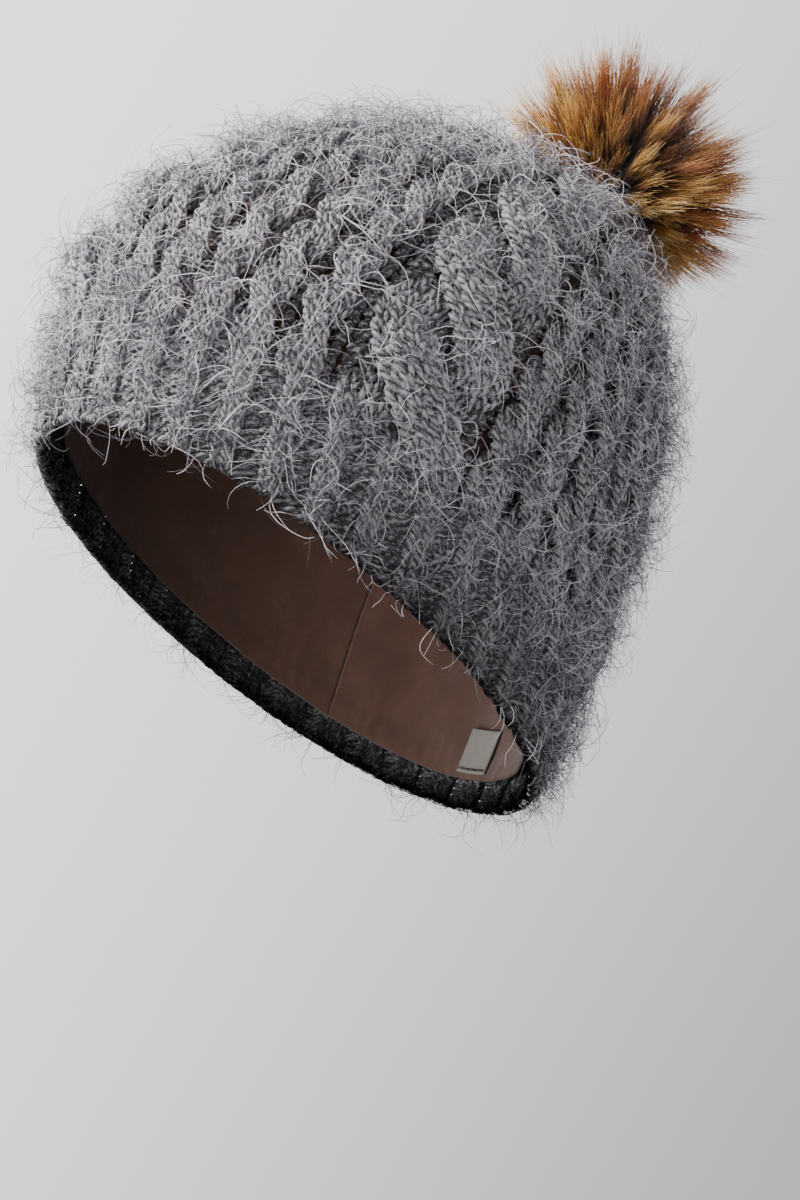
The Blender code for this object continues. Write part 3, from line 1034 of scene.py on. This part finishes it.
def build_neck_thread(thread):
    around = np.linspace(0.0, math.tau, 121)
    line = on_axis(5.0 * np.cos(around), 5.0 * np.sin(around), 9.9 + 0.15 * np.sin(around * 8))
    draw = thread_object("neck_thread", line, True, 0.62, 12, thread, "pom_neck")
    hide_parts("pom_draw_thread")


def build_base_disc(felt):
    low, high, hole, rim = 5.3, 6.3, 1.6, 8.45
    radius = np.array([hole, 4.0, 7.6, 8.25, rim, 8.25, 7.6, 4.0, hole])
    height = np.array([low, low, low, low + 0.15, 5.8, high - 0.15, high, high, high])
    grid = turned_grid(radius, height, 64)
    disc = turned_object("base_disc", grid, felt, "pom_base", joined=True)
    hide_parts("pom_base_disc")
    round_sheet(math.pi * (rim ** 2 - hole ** 2) * MM ** 2,
                cut=2.0 * rim * MM)


def build_crown_patch(felt):
    rows = 8
    around = circle(64)
    edge, centre = ring_distance(7.64), ring_distance(7.985)
    up = np.concatenate([np.linspace(edge, centre, rows), np.linspace(centre, edge, rows)])[:, None]
    depth = np.repeat([5.35, 6.25], rows)[:, None]
    points, _ = wall(around, up, -depth)
    patch = turned_object("felt_patch", points, felt, "hat", joined=True)
    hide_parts("crown_patch")
    _, _, area = sheet_size(np.concatenate([points[:rows], points[:rows, :1]], 1))
    round_sheet(area)


# How far the pile reaches from the fan's centre, by the angle from the axis in degrees.
FAN_CENTRE = 12.0
FAN_REACH = np.array([(0, 56.0), (20, 56.5), (40, 57.5), (58, 55.0), (75, 49.0), (90, 43.0),
                      (112, 31.0)])
# How far down the bag the pile grows, and how far round it fans out, in degrees.
BAG_SPREAD = 145.0
FAN_SPREAD = 109.0
BAG_MIDDLE = np.array([0.0, 0.0, BAG_CENTRE])


def sphere_points(cosine, around):
    sine = np.sqrt(1.0 - cosine ** 2)
    return np.stack([sine * np.cos(around), sine * np.sin(around), cosine], -1)


def bag_roots(low, high, count, random):
    """Places spread evenly over the bag between two angles from the top, in degrees."""
    cosine = random.uniform(math.cos(math.radians(high)), math.cos(math.radians(low)), count)
    around = random.uniform(0.0, math.tau, count)
    root = BAG_RADIUS * sphere_points(cosine, around) + BAG_MIDDLE
    return root, cosine, around


def hair_paths(root, tip, points, random, lean=0.0):
    """Hairs that leave the bag square to it, and bend over and lean aside towards their tips."""
    outward = unit(root - BAG_MIDDLE)
    span = np.linalg.norm(tip - root, axis=-1, keepdims=True)
    control = root + (outward * 0.45 + unit(tip - root) * 0.55) * span * 0.5
    share = np.linspace(0.0, 1.0, points)[None, :, None]
    path = (root[:, None] * (1 - share) ** 2 + 2 * control[:, None] * share * (1 - share)
            + tip[:, None] * share ** 2)
    path = path + random.normal(0.0, 0.6, (len(root), 1, 3)) * np.sin(share * math.pi * 1.5) * share
    path = path + lean * share ** 2 * (1.6 - share)
    return on_axis(path[..., 0], path[..., 1], path[..., 2])


def build_pile(random, material):
    """Long hairs in locks that share a tip, fanned out from a centre low in the pom."""
    count, points, locks = 19000, 8, 520
    root, cosine, around = bag_roots(0.0, BAG_SPREAD, count, random)
    lock_cos = random.uniform(math.cos(math.radians(FAN_SPREAD)), 1.0, locks)
    lock_way = sphere_points(lock_cos, random.uniform(0.0, math.tau, locks))
    opened = np.arccos(cosine) * math.radians(FAN_SPREAD) / math.radians(BAG_SPREAD)
    fan = sphere_points(np.cos(opened), around)
    member = np.argmax(fan @ lock_way.T + random.normal(0.0, 0.012, (count, locks)), 1)
    way = unit(lock_way[member] + random.normal(0.0, 0.033, (count, 3)))
    polar = np.degrees(np.arccos(np.clip(way[:, 2], -1.0, 1.0)))
    layer = np.where(random.uniform(0.0, 1.0, locks) < 0.45,
                     random.uniform(0.66, 0.88, locks), random.uniform(0.90, 1.06, locks))
    reach = np.interp(polar, FAN_REACH[:, 0], FAN_REACH[:, 1]) * layer[member]
    reach = reach * random.uniform(0.84, 1.05, count)
    stray = random.uniform(0.0, 1.0, count) < 0.05
    reach = np.where(stray, reach * random.uniform(1.05, 1.24, count), reach)
    tip = way * reach[:, None] + np.array([0.0, 0.0, FAN_CENTRE])
    # The locks lean across each other, and most of all where they point along the axis.
    lean = random.normal(0.0, 1.0, (locks, 3))[member]
    lean = lean - way * (lean * way).sum(-1, keepdims=True)
    lean = lean * (2.6 + 4.0 * smooth_step(50.0, 5.0, polar))[:, None]
    # Rust in patches over the top of the pom, gold and cream more towards its lower edge.
    patches = Wobble(SEED + 61, 7, 4)(np.arctan2(way[:, 1], way[:, 0]), polar)
    lock_tone = random.uniform(0.0, 1.0, locks)[member]
    hair_tone = random.uniform(0.0, 1.0, count)
    tones = (0.15 + 0.28 * smooth_step(60.0, 100.0, polar) + 0.15 * patches
             + 0.34 * lock_tone + 0.12 * hair_tone)
    pieces = strand_pieces("fur_pile", hair_paths(root, tip, points, random, lean[:, None]),
                           taper(count, points, 0.15, 0.04, random), tones, material, 3,
                           "pom_ball", "fur")
    for piece in pieces:
        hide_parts("pom_fur_pile")


def build_skirt(random, material):
    """Short dark hairs under the bag, that hang round the press stud down to the crown."""
    count, points = 5200, 6
    root, _, around = bag_roots(105.0, 147.0, count, random)
    away = random.uniform(10.0, 18.0, count)
    around = around + random.normal(0.0, 0.25, count)
    height = 2.4 - away ** 2 / 160.0 + random.uniform(0.0, 4.0, count)
    tip = np.stack([away * np.cos(around), away * np.sin(around), height], -1)
    strand_pieces("fur_skirt", hair_paths(root, tip, points, random),
                  taper(count, points, 0.13, 0.04, random), random.uniform(0.0, 0.35, count),
                  material, 3, "pom_ball", "fur")


def build_fur():
    random = np.random.default_rng(SEED + 60)
    material = fur_material()
    build_pile(random, material)
    build_skirt(random, material)


def finish_metal():
    nickel = metal_material("nickel_plate", (0.66, 0.64, 0.60), (0.48, 0.46, 0.43))
    wire = metal_material("spring_wire", (0.74, 0.74, 0.73), (0.60, 0.60, 0.60))
    for node in ("snap_back_cap", "snap_stud", "snap_socket", "socket_cap"):
        dress(node, nickel)
    dress("snap_spring", wire)


def dress(node, material):
    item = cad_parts[node]
    for slot in item.material_slots:
        slot.material = material
    if not item.material_slots:
        item.data.materials.append(material)


# ---- stage ----

def build_floor():
    """A pale floor, open under the hat, seen from above only, that fades out far away."""
    nodes = Nodes("pale_floor", Roughness=0.9)
    tint = nodes.noise(nodes.place(), 1.2, 2.0, 0.5)
    nodes.finish(nodes.ramp(tint, [(0.3, (0.66, 0.66, 0.69)), (0.7, (0.70, 0.70, 0.73))]))
    clear = nodes.add("BsdfTransparent")
    side = nodes.add("NewGeometry").outputs["Backfacing"]
    distance = nodes.add("VectorMath", {0: nodes.place()}, operation="LENGTH").outputs["Value"]
    far = nodes.add("MapRange", {"Value": distance, "From Min": 0.45, "From Max": 2.4},
                    interpolation_type="SMOOTHSTEP").outputs["Result"]
    gone = nodes.math("MAXIMUM", side, far)
    mixed = nodes.add("MixShader", {0: gone, 1: nodes.shader.outputs[0], 2: clear.outputs[0]})
    output = nodes.existing("Material Output")
    nodes.feed(output.inputs["Surface"], mixed.outputs[0])
    steps = 96
    around = circle(steps)
    hole = np.stack([70.0 * np.cos(around), 11.0 + 92.0 * np.sin(around), 0.0 * around - 0.3], -1)
    rim = np.stack([4500.0 * np.cos(around), 4500.0 * np.sin(around), 0.0 * around - 0.3], -1)
    index = np.arange(steps)
    nexts = np.roll(index, -1)
    quads = np.stack([index, index + steps, nexts + steps, nexts], -1)
    floor = new_mesh_object("floor", np.concatenate([hole, rim]), quads.ravel(),
                            np.arange(steps) * 4, nodes.material, smooth=False)


def add_light(name, kind, place, aim, power, **settings):
    data = bpy.data.lights.new(name, kind)
    data.energy = power
    for key, value in settings.items():
        setattr(data, key, value)
    light = new_object(name, data)
    light.location = place
    light.rotation_euler = (aim - place).to_track_quat("-Z", "Y").to_euler()


def sky_blend(tree, direction, towards, low, high, first, second):
    """A blend between two colours across the directions, from low to high cosines."""
    sides = {0: direction, 1: towards.normalized()}
    product = tree.add("VectorMath", sides, operation="DOT_PRODUCT")
    inputs = {"Value": product.outputs["Value"], "From Min": low, "From Max": high}
    share = tree.add("MapRange", inputs, interpolation_type="SMOOTHSTEP").outputs["Result"]
    return tree.ramp(share, [(0.0, first), (1.0, second)])


def build_surroundings(right, top, away):
    """A pale wall, brighter behind the hat and darker to its right."""
    world = bpy.data.worlds.new("studio")
    bpy.context.scene.world = world
    tree = Tree(world)
    direction = tree.add("TexCoord").outputs["Generated"]
    wall_colour = sky_blend(tree, direction, right * 0.85 - top * 0.5, -0.22, 0.22,
                            (1.0, 1.0, 1.0), (0.27, 0.265, 0.275))
    glow = sky_blend(tree, direction, -away, 0.50, 0.96, (0.44, 0.44, 0.445), (0.965, 0.975, 1.0))
    background = tree.existing("Background")
    tree.feed(background.inputs["Color"], tree.mix(1.0, wall_colour, glow, "MULTIPLY"))
    background.inputs["Strength"].default_value = 2.2


def build_light(right, top, away):
    """A soft key from the left and above, weaker lights below and behind, and a soft sky."""
    middle = Vector((0.0, 0.01, 0.10))
    key = middle - right * 1.05 + top * 0.95 + away * 0.2
    fill = middle - right * 0.9 - top * 0.4 + away * 0.9
    back = middle + right * 0.8 + top * 0.9 - away * 0.7
    overhead = middle - right * 0.5 + Vector((0.0, 0.0, 1.0))
    add_light("key_light", "AREA", key, middle, 52.0, size=0.5, color=(1.0, 0.99, 0.985))
    add_light("fill_light", "AREA", fill, middle, 12.0, size=1.0, color=(0.98, 0.985, 1.0))
    add_light("back_light", "AREA", back, middle, 11.0, size=0.6)
    add_light("sky_light", "SUN", overhead, middle, 0.7, angle=math.radians(60.0))


def main():
    right, top, away = place_camera()
    yarn = yarn_material("grey_yarn", (0.010, 0.009, 0.011), (0.096, 0.091, 0.100),
                         (0.55, 0.535, 0.545), (0.40, 0.32, 0.44))
    thread = yarn_material("brown_thread", (0.03, 0.015, 0.01), (0.09, 0.045, 0.03),
                           (0.16, 0.09, 0.06), (0.2, 0.12, 0.08))
    rib, body = build_knit(yarn)
    build_edge_cord(yarn)
    build_fuzz(rib, body)
    build_lining()
    build_label(thread)
    build_wall_threads(yarn, thread)
    felt = felt_material("dark_felt", (0.09, 0.08, 0.075), (0.03, 0.027, 0.025))
    build_fur_bag()
    build_stuffing()
    build_neck_thread(thread)
    build_base_disc(felt)
    build_crown_patch(felt)
    build_fur()
    finish_metal()
    build_floor()
    build_light(right, top, away)
    build_surroundings(right, top, away)


main()
